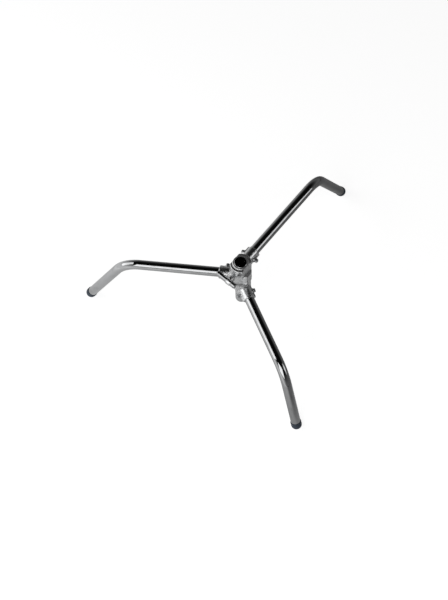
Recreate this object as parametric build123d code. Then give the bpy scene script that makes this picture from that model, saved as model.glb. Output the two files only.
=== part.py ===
from build123d import *
import math
import os

# A folding three-leg stand base that receives a detachable column. Sizes are in millimetres.
# Frame: Z up, origin on the hub axis at floor level, fixed top leg along +Y, clamp handle along -Y.

# hub
receiver_bore_d = 28.75      # takes a 1-1/8 inch column foot
spindle_wall = 1.625
spindle_tail = 84.7          # lower leg's axis down to the spindle's end
spindle_proud = 1.0          # rim above the collar
top_leg_height = 250.2       # top leg's axis where it meets the hub axis
casting_floor = 4.5          # casting below its leg's socket
casting_roof = 4.25          # turning casting above its leg's socket
casting_nose_wall = 11.5     # spindle to the round nose on the tail side
casting_side_wall = 4.3      # spindle to the flats
casting_corner_r = 2.0
collar_neck_rise = 2.7
collar_neck_wall = 4.3
face_chamfer = 1.0

# legs
leg_tube_od = 25.4
leg_tube_wall = 1.65
leg_bend_r = 76.2
leg_droop_deg = 1.75
foot_angle_deg = 58.3        # below horizontal
top_leg_reach = 334.5        # hub axis to the bend's corner, level
middle_leg_reach = 303.8
lower_leg_reach = 270.9
leg_spread_deg = 120.0
tube_root_wall = 6.0         # spindle to each tube's inner end
foot_cap_wall = 1.3
foot_cap_sleeve = 9.0

# sockets
socket_wall = 2.8
socket_depth = 34.0          # tube's inner end to the socket's rim
socket_flange_rise = 2.5     # past the sleeve on each side
socket_flange_t = 7.0
socket_flange_overlap = 2.0  # behind the tube's inner end
socket_rim_chamfer = 1.2
bolt_inset = 14.0            # tube's inner end to the cross bolt
bolt_d = 6.0
bolt_boss_d = 14.0
bolt_boss_rise = 3.0         # past the sleeve on each side
bolt_hole_clearance = 0.25   # radial
bolt_tail = 1.8              # thread past the nut
hex_af = 10.0
hex_head_h = 4.0
hex_nut_h = 5.0
washer_od = 12.5
washer_t = 1.2

# pivots and what keeps the stack together
thrust_washer_margin = 0.3   # inside the casting's flats
thrust_washer_t = 1.2
running_gap = 0.3            # between faces that turn past each other
hinge_clearance = 0.06       # radial
seat_clearance = 0.02        # radial, pieces that are fixed together
spring_washer_t = 0.8
spring_washer_bow_r = 150.0
retaining_ring_t = 1.5
retaining_ring_rise = 2.8    # past the spindle
retaining_groove_depth = 0.7
retaining_gap_deg = 50.0
retaining_lug_r = 2.4
retaining_hole_r = 1.0
stop_pin_d = 4.0
stop_pin_rise = 1.9          # past the spindle
stop_recess_depth = 5.0
stop_recess_clearance = 0.4
drag_screw_d = 10.0
drag_plug_length = 5.0
drag_screw_sink = 0.7        # below the round nose
drag_socket_af = 5.0
drag_socket_depth = 3.0

# column stop at the bottom of the receiver
plug_drop = 36.7             # lower leg's axis down to the plug's top
plug_height = 13.0
plug_shoulder = 0.5          # radial step that the plug seats on
stop_screw_d = 6.0
stop_screw_head_d = 10.5
stop_screw_head_h = 3.3
stop_screw_head_round = 2.0
stop_screw_depth = 9.0       # thread into the plug
stop_screw_azimuth_deg = 300.0
stop_screw_socket_af = 4.0
stop_screw_socket_depth = 2.0

# collar screw
collar_screw_azimuth_deg = 294.5
collar_screw_rise = 2.0      # above the top leg's axis
collar_screw_d = 8.0
collar_screw_af = 14.0
collar_screw_head_h = 5.0
collar_screw_boss_d = 17.0
collar_screw_boss_rise = 1.0
collar_screw_cone_r = 10.5   # cone that rounds off the head's corners, at its base
collar_screw_dimple_r = 4.0
collar_screw_dimple_lift = 2.8  # head's top to the middle of the ball that cuts the dimple

# clamp handle
handle_drop = 9.2            # below the top leg's axis
handle_standoff = 21.9       # casting's round nose to the bar
handle_bar_d = 14.0
handle_bar_length = 60.0
handle_bar_end_r = 4.0
handle_bar_offset = 8.0      # bar stands off-centre in its knuckle
handle_turn_deg = -13.0       # at rest, about the clamp screw
handle_knuckle_wall = 1.6
handle_knuckle_w = 13.0
handle_neck_wall = 2.0
handle_neck_gap = 8.0        # casting's round nose to the neck
handle_pin_d = 3.0
handle_pin_inset = 3.1       # from the neck's end
clamp_screw_d = 12.0
clamp_boss_wall = 2.5
clamp_boss_rise = 0.3
clamp_shoulder_gap = 3.2     # spindle to the thread's inner end
clamp_pad_d = 9.6
clamp_pad_t = 4.0
clamp_pad_retract = 0.3      # pad's face behind the receiver's wall, at rest
clamp_pad_wall = 1.5
clamp_nose_d = 6.0
clamp_pad_play = 0.3

# worked out
receiver_r = receiver_bore_d / 2
spindle_r = receiver_r + spindle_wall
turning_bore_r = spindle_r + hinge_clearance
casting_r = spindle_r + casting_nose_wall
casting_flat_w = 2 * (spindle_r + casting_side_wall)
tube_r = leg_tube_od / 2
sleeve_r = tube_r + socket_wall
tube_root_r = spindle_r + tube_root_wall
socket_reach = tube_root_r + socket_depth
bolt_reach = tube_root_r + bolt_inset
bolt_boss_w = 2 * (sleeve_r + bolt_boss_rise)
foot_cap_r = tube_r + foot_cap_wall
casting_drop = sleeve_r + casting_floor
casting_top = sleeve_r + casting_roof
collar_top = sleeve_r + collar_neck_rise
stack_pitch = casting_drop + casting_top + thrust_washer_t + running_gap
middle_leg_height = top_leg_height - stack_pitch
lower_leg_height = middle_leg_height - stack_pitch
spindle_top_z = top_leg_height + collar_top + spindle_proud
spindle_bottom_z = lower_leg_height - spindle_tail
droop = math.tan(math.radians(leg_droop_deg))
top_azimuth = 90.0
clamp_azimuth = top_azimuth + 180
middle_azimuth = top_azimuth + leg_spread_deg
lower_azimuth = middle_azimuth + leg_spread_deg
middle_stop_azimuth = middle_azimuth - leg_spread_deg / 2
lower_stop_azimuth = lower_azimuth + leg_spread_deg / 2
stop_pin_reach = spindle_r + stop_pin_rise
thrust_washer_r = casting_flat_w / 2 - thrust_washer_margin
bottom_washer_top = lower_leg_height - casting_drop
spring_washer_top = bottom_washer_top - thrust_washer_t - running_gap
spring_washer_bow = thrust_washer_r**2 / (2 * spring_washer_bow_r)
spring_washer_low = spring_washer_top - spring_washer_t - spring_washer_bow
retaining_ring_top = spring_washer_low - running_gap
retaining_ring_low = retaining_ring_top - retaining_ring_t
retaining_ring_r = spindle_r + retaining_ring_rise
groove_r = spindle_r - retaining_groove_depth
plug_r = receiver_r + plug_shoulder
plug_top_z = lower_leg_height - plug_drop
stop_screw_z = plug_top_z - plug_height / 2
clamp_boss_reach = casting_r + clamp_boss_rise
collar_screw_seat = casting_r + collar_screw_boss_rise
collar_screw_z = top_leg_height + collar_screw_rise
handle_axis_z = top_leg_height - handle_drop
handle_reach = casting_r + handle_standoff
handle_neck_start = casting_r + handle_neck_gap
handle_neck_r = clamp_screw_d / 2 + handle_neck_wall
clamp_pad_face = receiver_r + clamp_pad_retract
clamp_shoulder_reach = spindle_r + clamp_shoulder_gap


def rod(radius, start, end):
    """A cylinder along +Z from start to end."""
    return Pos(0, 0, (start + end) / 2) * Cylinder(radius, end - start)


def sector(radius, start, end, span_deg):
    """A slice of a cylinder, as wide to each side of +X."""
    slice_align = (Align.NONE, Align.NONE, Align.MIN)
    slice_shape = Cylinder(radius, end - start, arc_size=span_deg, align=slice_align)
    return Pos(0, 0, start) * Rot(0, 0, -span_deg / 2) * slice_shape


def along(azimuth_deg, height, shape):
    """Turns a shape made along +Z to point outwards from the hub axis."""
    return Pos(0, 0, height) * Rot(0, 0, azimuth_deg) * Rot(0, 90, 0) * shape


def hex_prism(across_flats, start, end):
    outline = RegularPolygon(across_flats / 2, 6, major_radius=False)
    return Pos(0, 0, start) * extrude(outline, end - start)


def place(azimuth_deg, leg_height, shape):
    """Moves a piece of a leg, made along +X with its axis at zero height, to its place."""
    return Pos(0, 0, leg_height) * Rot(0, 0, azimuth_deg) * shape


def on_leg_axis(reach):
    return Pos(reach, 0, -reach * droop)


def leg_path(reach, leg_height):
    """Corner points of a leg's axis: root, bend corner and the centre of the foot's round end."""
    corner = Vector(reach, 0, -reach * droop)
    end_z = foot_cap_r - leg_height
    end_x = corner.X + (corner.Z - end_z) / math.tan(math.radians(foot_angle_deg))
    return Vector(tube_root_r, 0, -tube_root_r * droop), corner, Vector(end_x, 0, end_z)


def leg_tube(reach, leg_height):
    root, corner, end = leg_path(reach, leg_height)
    path = FilletPolyline(root, corner, end, radius=leg_bend_r)
    section = Plane(origin=root, z_dir=corner - root)
    ring = section * (Circle(tube_r) - Circle(tube_r - leg_tube_wall))
    tube = sweep(ring, path=path)
    return tube - cross_drilling()


def cross_drilling():
    """The hole for a leg's cross bolt, through the casting and the tube."""
    hole = Cylinder(bolt_d / 2 + bolt_hole_clearance, 2 * bolt_boss_w)
    return on_leg_axis(bolt_reach) * Rot(90, 0, 0) * hole


def foot_cap(reach, leg_height):
    corner, end = leg_path(reach, leg_height)[1:]
    sleeve = rod(foot_cap_r, -foot_cap_sleeve, 0)
    dome = Sphere(foot_cap_r, arc_size1=0, arc_size2=90, align=Align.NONE)
    bore = rod(tube_r + seat_clearance, -foot_cap_sleeve, 0)
    frame = Plane(origin=end, z_dir=end - corner)
    return frame.location * (sleeve + dome - bore)


def casting_body(top):
    """The block round the spindle: a round nose cut by two flats that run along the leg."""
    outline = Circle(casting_r) & Rectangle(3 * casting_r, casting_flat_w)
    outline = fillet(outline.vertices(), casting_corner_r)
    block = Pos(0, 0, -casting_drop) * extrude(outline, casting_drop + top)
    rims = block.edges().group_by(Axis.Z)
    return chamfer(rims[0] + rims[-1], face_chamfer)


def socket():
    """The leg's socket: a sleeve on the tube, side flanges and a boss for the cross bolt."""
    sleeve = rod(sleeve_r, 0, socket_reach)
    sleeve = chamfer(sleeve.edges().sort_by(Axis.Z)[-1], socket_rim_chamfer)
    flange_start = tube_root_r - socket_flange_overlap
    flange_length = socket_reach - flange_start
    flange = Box(flange_length, 2 * (sleeve_r + socket_flange_rise), socket_flange_t)
    flange = fillet(flange.edges().filter_by(Axis.Z), casting_corner_r)
    boss = Rot(90, 0, 0) * Cylinder(bolt_boss_d / 2, bolt_boss_w)
    return (
        Rot(0, 90 + leg_droop_deg, 0) * sleeve
        + on_leg_axis(flange_start + flange_length / 2) * flange
        + on_leg_axis(bolt_reach) * boss
    )


def leg_bore():
    drilling = rod(tube_r + seat_clearance, tube_root_r, 2 * socket_reach)
    return Rot(0, 90 + leg_droop_deg, 0) * drilling


def top_casting():
    body = casting_body(sleeve_r)
    neck = rod(spindle_r + collar_neck_wall, 0, collar_top)
    neck = chamfer(neck.edges().sort_by(Axis.Z)[-1], face_chamfer)
    leg = place(top_azimuth, top_leg_height, body + neck + socket() - leg_bore() - cross_drilling())
    clamp_boss = rod(clamp_screw_d / 2 + clamp_boss_wall, spindle_r, clamp_boss_reach)
    screw_boss = rod(collar_screw_boss_d / 2, spindle_r, collar_screw_seat)
    leg += along(clamp_azimuth, handle_axis_z, clamp_boss)
    leg += along(collar_screw_azimuth_deg, collar_screw_z, screw_boss)
    clamp_bore = rod(clamp_screw_d / 2 + hinge_clearance, 0, 2 * casting_r)
    screw_bore = rod(collar_screw_d / 2 + seat_clearance, 0, 2 * casting_r)
    leg -= along(clamp_azimuth, handle_axis_z, clamp_bore)
    leg -= along(collar_screw_azimuth_deg, collar_screw_z, screw_bore)
    return leg - rod(spindle_r + seat_clearance, 0, 2 * spindle_top_z)


def turning_casting(azimuth_deg, leg_height):
    """A casting that turns on the spindle, with a recess in its top that meets a stop pin."""
    body = casting_body(casting_top) + socket() - leg_bore() - cross_drilling()
    body -= rod(turning_bore_r, -2 * stack_pitch, 2 * stack_pitch)
    pin_half_deg = math.degrees(math.asin((stop_pin_d / 2 + stop_recess_clearance) / spindle_r))
    span = leg_spread_deg + 2 * pin_half_deg
    body -= sector(stop_pin_reach + stop_recess_clearance, casting_top - stop_recess_depth, casting_top, span)
    drag_bore = rod(drag_screw_d / 2 + seat_clearance, 0, 2 * casting_r)
    body -= Rot(0, -90, 0) * drag_bore
    return place(azimuth_deg, leg_height, body)


def cross_bolt():
    """Hex-head bolt along Y through a socket: head on the +Y side."""
    seat = bolt_boss_w / 2 + washer_t
    tail = seat + hex_nut_h + bolt_tail
    shank = rod(bolt_d / 2, -tail, seat)
    shank = chamfer(shank.edges().sort_by(Axis.Z)[0], face_chamfer / 2)
    return shank + hex_prism(hex_af, seat, seat + hex_head_h)


def cross_nut():
    seat = bolt_boss_w / 2 + washer_t
    return hex_prism(hex_af, -seat - hex_nut_h, -seat) - rod(bolt_d / 2 + seat_clearance, -2 * seat, 0)


def cross_washers():
    edge = bolt_boss_w / 2
    ring = rod(washer_od / 2, 0, washer_t) - rod(bolt_d / 2 + bolt_hole_clearance, 0, washer_t)
    return [Pos(0, 0, edge) * ring, Pos(0, 0, -edge - washer_t) * ring]


def ring_washer(top_z):
    bore_r = spindle_r + running_gap
    return rod(thrust_washer_r, top_z - thrust_washer_t, top_z) - rod(bore_r, 0, top_z)


def spring_washer():
    """A ring bent once about an axis along X, so that it carries on two crests."""
    ring = rod(thrust_washer_r, spring_washer_low, spring_washer_top)
    ring -= rod(spindle_r + running_gap, 0, spindle_top_z)
    centre = Pos(0, 0, spring_washer_top - spring_washer_bow_r) * Rot(0, 90, 0)
    outside = centre * Cylinder(spring_washer_bow_r, 2 * thrust_washer_r)
    inside = centre * Cylinder(spring_washer_bow_r - spring_washer_t, 2 * thrust_washer_r)
    return ring & (outside - inside)


def retaining_ring():
    """External retaining ring in the spindle's groove, with two lugs at its gap."""
    ring = rod(retaining_ring_r, retaining_ring_low, retaining_ring_top)
    ring -= sector(2 * spindle_r, retaining_ring_low, retaining_ring_top, retaining_gap_deg)
    lug_reach = (groove_r + retaining_ring_r) / 2
    lug_turn = retaining_gap_deg / 2
    for turn in (-lug_turn, lug_turn):
        centre = Rot(0, 0, turn) * Pos(lug_reach, 0, 0)
        ring += centre * rod(retaining_lug_r, retaining_ring_low, retaining_ring_top)
        ring -= centre * rod(retaining_hole_r, retaining_ring_low, retaining_ring_top)
    return ring - rod(groove_r + seat_clearance, 0, spindle_top_z)


def stop_pin(azimuth_deg, leg_height):
    height = leg_height + casting_top - stop_recess_depth / 2
    sagitta = receiver_r - math.sqrt(receiver_r**2 - (stop_pin_d / 2) ** 2)
    return along(azimuth_deg, height, rod(stop_pin_d / 2, receiver_r + sagitta, stop_pin_reach))


def spindle_tube():
    tube = rod(spindle_r, spindle_bottom_z, spindle_top_z)
    tube = chamfer(tube.edges(), face_chamfer / 2)
    tube -= rod(receiver_r, 0, 2 * spindle_top_z)
    tube -= rod(plug_r, 0, plug_top_z)
    groove = rod(2 * spindle_r, retaining_ring_low, retaining_ring_top)
    tube -= groove - rod(groove_r, 0, spindle_top_z)
    window_r = clamp_pad_d / 2 + running_gap
    tube -= along(clamp_azimuth, handle_axis_z, rod(window_r, 0, 2 * spindle_r))
    screw_r = stop_screw_d / 2 + seat_clearance
    tube -= along(stop_screw_azimuth_deg, stop_screw_z, rod(screw_r, 0, 2 * spindle_r))
    pin_r = stop_pin_d / 2 + seat_clearance
    for azimuth, height in ((middle_stop_azimuth, middle_leg_height), (lower_stop_azimuth, lower_leg_height)):
        pin_z = height + casting_top - stop_recess_depth / 2
        tube -= along(azimuth, pin_z, rod(pin_r, 0, 2 * spindle_r))
    return tube


def stop_plug():
    plug = rod(plug_r - seat_clearance, plug_top_z - plug_height, plug_top_z)
    plug = chamfer(plug.edges().sort_by(Axis.Z)[0], face_chamfer)
    screw_r = stop_screw_d / 2 + seat_clearance
    thread = rod(screw_r, plug_r - stop_screw_depth - running_gap, 2 * plug_r)
    return plug - along(stop_screw_azimuth_deg, stop_screw_z, thread)


def stop_screw():
    shank = rod(stop_screw_d / 2, plug_r - stop_screw_depth, spindle_r)
    head = rod(stop_screw_head_d / 2, spindle_r, spindle_r + stop_screw_head_h)
    head = fillet(head.edges().sort_by(Axis.Z)[-1], stop_screw_head_round)
    top = spindle_r + stop_screw_head_h
    key = hex_prism(stop_screw_socket_af, top - stop_screw_socket_depth, top)
    return along(stop_screw_azimuth_deg, stop_screw_z, shank + head - key)


def collar_screw():
    seat = collar_screw_seat
    shank = rod(collar_screw_d / 2, spindle_r + seat_clearance, seat)
    head = hex_prism(collar_screw_af, seat, seat + collar_screw_head_h)
    cone_top_r = (collar_screw_af - face_chamfer) / 2
    head &= Pos(0, 0, seat) * Cone(collar_screw_cone_r, cone_top_r, 2 * collar_screw_head_h)
    ball_z = seat + collar_screw_head_h + collar_screw_dimple_lift
    dimple = Pos(0, 0, ball_z) * Sphere(collar_screw_dimple_r)
    return along(collar_screw_azimuth_deg, collar_screw_z, shank + head - dimple)


def drag_plug():
    start = spindle_r + running_gap
    return Rot(0, -90, 0) * rod(drag_screw_d / 2, start, start + drag_plug_length)


def drag_screw():
    start = spindle_r + running_gap + drag_plug_length
    end = casting_r - drag_screw_sink
    key = hex_prism(drag_socket_af, end - drag_socket_depth, end)
    return Rot(0, -90, 0) * (rod(drag_screw_d / 2, start, end) - key)


def clamp_pad():
    """Brass pad, free to swivel on the clamp screw's nose."""
    back = clamp_pad_face + clamp_pad_t
    pad = rod(clamp_pad_d / 2, clamp_pad_face, back)
    pad = chamfer(pad.edges().sort_by(Axis.Z)[0], face_chamfer / 2)
    return pad - rod(clamp_nose_d / 2 + hinge_clearance, clamp_pad_face + clamp_pad_wall, back)


def clamp_screw():
    nose_start = clamp_pad_face + clamp_pad_wall + clamp_pad_play
    end = handle_reach - handle_bar_d / 2 - seat_clearance
    nose = rod(clamp_nose_d / 2, nose_start, clamp_shoulder_reach)
    thread = rod(clamp_screw_d / 2, clamp_shoulder_reach, end)
    thread = chamfer(thread.edges().sort_by(Axis.Z)[0], face_chamfer)
    return nose + thread - handle_pin_hole(seat_clearance)


def handle_pin_hole(clearance):
    pin = Cylinder(handle_pin_d / 2 + clearance, 2 * handle_neck_r)
    return Pos(0, 0, handle_neck_start + handle_pin_inset) * Rot(0, 90, 0) * pin


def handle_hub():
    """Knuckle round the bar, with a neck that takes the clamp screw."""
    knuckle_r = handle_bar_d / 2 + handle_knuckle_wall
    knuckle = Rot(90, 0, 0) * Cylinder(knuckle_r, handle_knuckle_w)
    knuckle = chamfer(knuckle.edges().filter_by(GeomType.CIRCLE), face_chamfer / 2)
    neck = rod(handle_neck_r, handle_neck_start, handle_reach)
    neck = chamfer(neck.edges().sort_by(Axis.Z)[0], face_chamfer / 2)
    hub = Pos(0, 0, handle_reach) * knuckle + neck
    hub -= rod(clamp_screw_d / 2 + seat_clearance, 0, handle_reach)
    hub -= handle_pin_hole(seat_clearance)
    bar_r = handle_bar_d / 2 + seat_clearance
    return hub - Pos(0, 0, handle_reach) * Rot(90, 0, 0) * Cylinder(bar_r, 2 * handle_knuckle_w)


def handle_bar():
    bar = Cylinder(handle_bar_d / 2, handle_bar_length)
    bar = fillet(bar.edges().filter_by(GeomType.CIRCLE), handle_bar_end_r)
    return Pos(0, -handle_bar_offset, handle_reach) * Rot(90, 0, 0) * bar


def on_handle(shape):
    return along(clamp_azimuth, handle_axis_z, Rot(0, 0, handle_turn_deg) * shape)


def leg_parts(name, azimuth_deg, leg_height, reach):
    bolt_frame = on_leg_axis(bolt_reach) * Rot(-90, 0, 0)
    washers = [place(azimuth_deg, leg_height, bolt_frame * ring) for ring in cross_washers()]
    return {
        f"{name}_leg_tube": place(azimuth_deg, leg_height, leg_tube(reach, leg_height)),
        f"{name}_foot_cap": place(azimuth_deg, leg_height, foot_cap(reach, leg_height)),
        f"{name}_leg_bolt": place(azimuth_deg, leg_height, bolt_frame * cross_bolt()),
        f"{name}_leg_nut": place(azimuth_deg, leg_height, bolt_frame * cross_nut()),
        f"{name}_leg_washers": Compound(children=washers),
    }


def turning_parts(name, azimuth_deg, leg_height):
    return {
        f"{name}_casting": turning_casting(azimuth_deg, leg_height),
        f"{name}_drag_plug": place(azimuth_deg, leg_height, drag_plug()),
        f"{name}_drag_screw": place(azimuth_deg, leg_height, drag_screw()),
    }


def build():
    parts = {"top_casting": top_casting(), "spindle_tube": spindle_tube()}
    parts |= leg_parts("top", top_azimuth, top_leg_height, top_leg_reach)
    parts |= leg_parts("middle", middle_azimuth, middle_leg_height, middle_leg_reach)
    parts |= leg_parts("lower", lower_azimuth, lower_leg_height, lower_leg_reach)
    parts |= turning_parts("middle", middle_azimuth, middle_leg_height)
    parts |= turning_parts("lower", lower_azimuth, lower_leg_height)
    pins = [
        stop_pin(middle_stop_azimuth, middle_leg_height),
        stop_pin(lower_stop_azimuth, lower_leg_height),
    ]
    parts |= {
        "stop_pins": Compound(children=pins),
        "upper_thrust_washer": ring_washer(top_leg_height - casting_drop),
        "lower_thrust_washer": ring_washer(middle_leg_height - casting_drop),
        "bottom_washer": ring_washer(bottom_washer_top),
        "spring_washer": spring_washer(),
        "retaining_ring": retaining_ring(),
        "stop_plug": stop_plug(),
        "stop_screw": stop_screw(),
        "collar_screw": collar_screw(),
        "clamp_pad": on_handle(clamp_pad()),
        "clamp_screw": on_handle(clamp_screw()),
        "handle_hub": on_handle(handle_hub()),
        "handle_bar": on_handle(handle_bar()),
        "handle_pin": on_handle(handle_pin_hole(0)),
    }
    return parts


os.makedirs("parts", exist_ok=True)
for node, shape in build().items():
    export_step(shape, f"parts/{node}.step")
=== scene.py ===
import math
import bmesh
import bpy
import numpy as np
from mathutils import Matrix, Vector, noise
from mathutils.bvhtree import BVHTree


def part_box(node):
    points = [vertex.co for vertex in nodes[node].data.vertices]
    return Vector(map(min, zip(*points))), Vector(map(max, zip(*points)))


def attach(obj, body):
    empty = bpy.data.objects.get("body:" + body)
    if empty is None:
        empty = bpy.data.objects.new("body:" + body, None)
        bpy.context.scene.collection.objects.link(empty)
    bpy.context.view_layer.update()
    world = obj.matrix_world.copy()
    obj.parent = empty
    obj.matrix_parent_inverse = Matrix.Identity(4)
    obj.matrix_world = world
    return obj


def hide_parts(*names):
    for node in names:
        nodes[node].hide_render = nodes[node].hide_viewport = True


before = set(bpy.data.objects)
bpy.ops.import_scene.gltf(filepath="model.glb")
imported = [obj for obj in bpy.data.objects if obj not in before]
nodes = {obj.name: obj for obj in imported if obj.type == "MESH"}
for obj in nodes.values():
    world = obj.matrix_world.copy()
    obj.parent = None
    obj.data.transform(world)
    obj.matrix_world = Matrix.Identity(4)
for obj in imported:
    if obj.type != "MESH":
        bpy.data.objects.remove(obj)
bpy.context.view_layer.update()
mm = 0.001
legNames = ["top", "middle", "lower"]
legBody = {"top": "base", "middle": "middle_leg", "lower": "lower_leg"}
print("stand base: frame loaded")


# node helpers, for materials and geometry trees alike

def addNode(tree, kind, inputs=None, **settings):
    made = tree.nodes.new(kind)
    for setting, value in settings.items():
        setattr(made, setting, value)
    for socket, value in (inputs or {}).items():
        if isinstance(value, bpy.types.NodeSocket):
            tree.links.new(value, made.inputs[socket])
        else:
            made.inputs[socket].default_value = value
    return made


def calc(tree, operation, first, second=0.0, third=0.0):
    return addNode(tree, "ShaderNodeMath", {0: first, 1: second, 2: third}, operation=operation).outputs[0]


def spread(tree, value, low, high, outLow=0.0, outHigh=1.0):
    return addNode(tree, "ShaderNodeMapRange", {
        "Value": value, "From Min": low, "From Max": high, "To Min": outLow, "To Max": outHigh,
    }, interpolation_type="SMOOTHSTEP").outputs[0]


def blendColor(tree, share, first, second):
    return addNode(tree, "ShaderNodeMix", {0: share, 6: first, 7: second}, data_type="RGBA").outputs[2]


def grain(tree, vector, scale, detail=2.0, roughness=0.5):
    return addNode(tree, "ShaderNodeTexNoise", {
        "Vector": vector, "Scale": scale, "Detail": detail, "Roughness": roughness}).outputs["Fac"]


def scaled(tree, vector, x, y, z):
    return addNode(tree, "ShaderNodeMapping", {"Vector": vector, "Scale": (x, y, z)}).outputs["Vector"]


def bumped(tree, height, strength, distance, below=None):
    inputs = {"Height": height, "Strength": strength, "Distance": distance}
    if below is not None:
        inputs["Normal"] = below
    return addNode(tree, "ShaderNodeBump", inputs).outputs["Normal"]


def newFinish(name, **constants):
    finish = bpy.data.materials.new(name)
    finish.use_nodes = True
    tree = finish.node_tree
    shader = tree.nodes["Principled BSDF"]
    for socket, value in constants.items():
        shader.inputs[socket.replace("_", " ")].default_value = value
    return finish, tree, shader


def objectCoords(tree):
    return addNode(tree, "ShaderNodeTexCoord").outputs["Object"]


def meshValue(tree, name, output="Fac"):
    return addNode(tree, "ShaderNodeAttribute", attribute_name=name).outputs[output]


def distanceFromHub(tree, spot):
    apart = addNode(tree, "ShaderNodeSeparateXYZ", {0: spot})
    squares = [calc(tree, "MULTIPLY", apart.outputs[i], apart.outputs[i]) for i in (0, 1)]
    return calc(tree, "SQRT", calc(tree, "ADD", squares[0], squares[1]))


def gray(level, tint=0.0):
    return (level * (1 - tint), level, level * (1 + tint), 1.0)


# finishes

chromeLook = {
    "bright": 0.49, "smudged": 0.42, "tint": 0.012, "polish": 0.045, "haze": 0.16,
    # where the chrome turns darker towards the feet: scuffing, and painted shade for the darker floor the
    # feet reflect
    "scuffShadeStart": 0.47, "scuffShadeFull": 0.62,  # metres along a leg
}


def makeTubeChrome():
    finish, tree, shader = newFinish("tubeChrome", Metallic=1.0)
    unbent = meshValue(tree, "tubeCoord", "Vector")
    drawn = grain(tree, scaled(tree, unbent, 1, 1, 0.012), 2600, 3.0, 0.6)
    smudge = grain(tree, scaled(tree, unbent, 1, 1, 0.45), 75, 4.0, 0.6)
    scratchField = grain(tree, scaled(tree, unbent, 0.35, 0.9, 0.06), 900, 1.0, 0.4)
    scratch = spread(tree, calc(tree, "ABSOLUTE", calc(tree, "SUBTRACT", scratchField, 0.5)), 0.006, 0.0)
    scratch = calc(tree, "MULTIPLY", scratch, spread(tree, grain(tree, unbent, 28), 0.52, 0.7))
    # foot end: scuffed, rougher and darker; the darker colour is partly painted shade standing in for the dim
    # floor reflected in the feet
    lowEnd = spread(tree, meshValue(tree, "along"), chromeLook["scuffShadeStart"], chromeLook["scuffShadeFull"])
    scuffAndShade = calc(tree, "MULTIPLY", lowEnd, spread(tree, grain(tree, unbent, 240, 4.0, 0.7), 0.5, 0.66))
    color = blendColor(tree, spread(tree, smudge, 0.46, 0.68),
                       gray(chromeLook["bright"], chromeLook["tint"]),
                       gray(chromeLook["smudged"], chromeLook["tint"]))
    color = blendColor(tree, scuffAndShade, color, gray(0.36, 0.01))
    tree.links.new(color, shader.inputs["Base Color"])
    rough = spread(tree, smudge, 0.42, 0.75, chromeLook["polish"], chromeLook["haze"])
    rough = calc(tree, "MULTIPLY_ADD", scratch, 0.2, rough)
    tree.links.new(calc(tree, "MULTIPLY_ADD", scuffAndShade, 0.22, rough), shader.inputs["Roughness"])
    lines = bumped(tree, drawn, 0.05, 0.0002)
    ripple = bumped(tree, grain(tree, scaled(tree, unbent, 1, 1, 0.5), 45), 0.04, 0.0015, lines)
    tree.links.new(bumped(tree, scratch, -0.15, 0.0001, ripple), shader.inputs["Normal"])
    return finish


def makeTurnedChrome(name, bright, polish, haze):
    # chromed solid pieces: spindle and handle bar, with smears, fine swirls and handling wear
    finish, tree, shader = newFinish(name, Metallic=1.0)
    spot = objectCoords(tree)
    smear = grain(tree, spot, 130, 4.0, 0.6)
    swirl = grain(tree, scaled(tree, spot, 1, 1, 9), 420, 3.0, 0.6)
    rub = spread(tree, grain(tree, spot, 45, 3.0), 0.48, 0.68)
    color = blendColor(tree, spread(tree, smear, 0.4, 0.7), gray(bright, 0.012), gray(bright * 0.8, 0.012))
    tree.links.new(color, shader.inputs["Base Color"])
    rough = spread(tree, smear, 0.38, 0.72, polish, haze)
    tree.links.new(calc(tree, "MULTIPLY_ADD", rub, 0.06, rough), shader.inputs["Roughness"])
    lines = bumped(tree, swirl, 0.06, 0.0002)
    tree.links.new(bumped(tree, grain(tree, spot, 260, 2.0), 0.06, 0.0006, lines), shader.inputs["Normal"])
    return finish


castLook = {
    "light": 0.9, "dark": 0.58, "grain": 1500, "lump": 360, "cloud": 95,
    "rough": 0.13, "hubRough": 0.3, "turnedRough": 0.46, "roughSpan": 0.14,
    "hubEdge": 0.021, "socketStart": 0.032,  # metres from the hub's axis, dull to polished
    "pits": 620.0, "pitColor": 0.2, "wornColor": 0.8, "turnedColor": 0.62, "toolLines": 21000,
}


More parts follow.
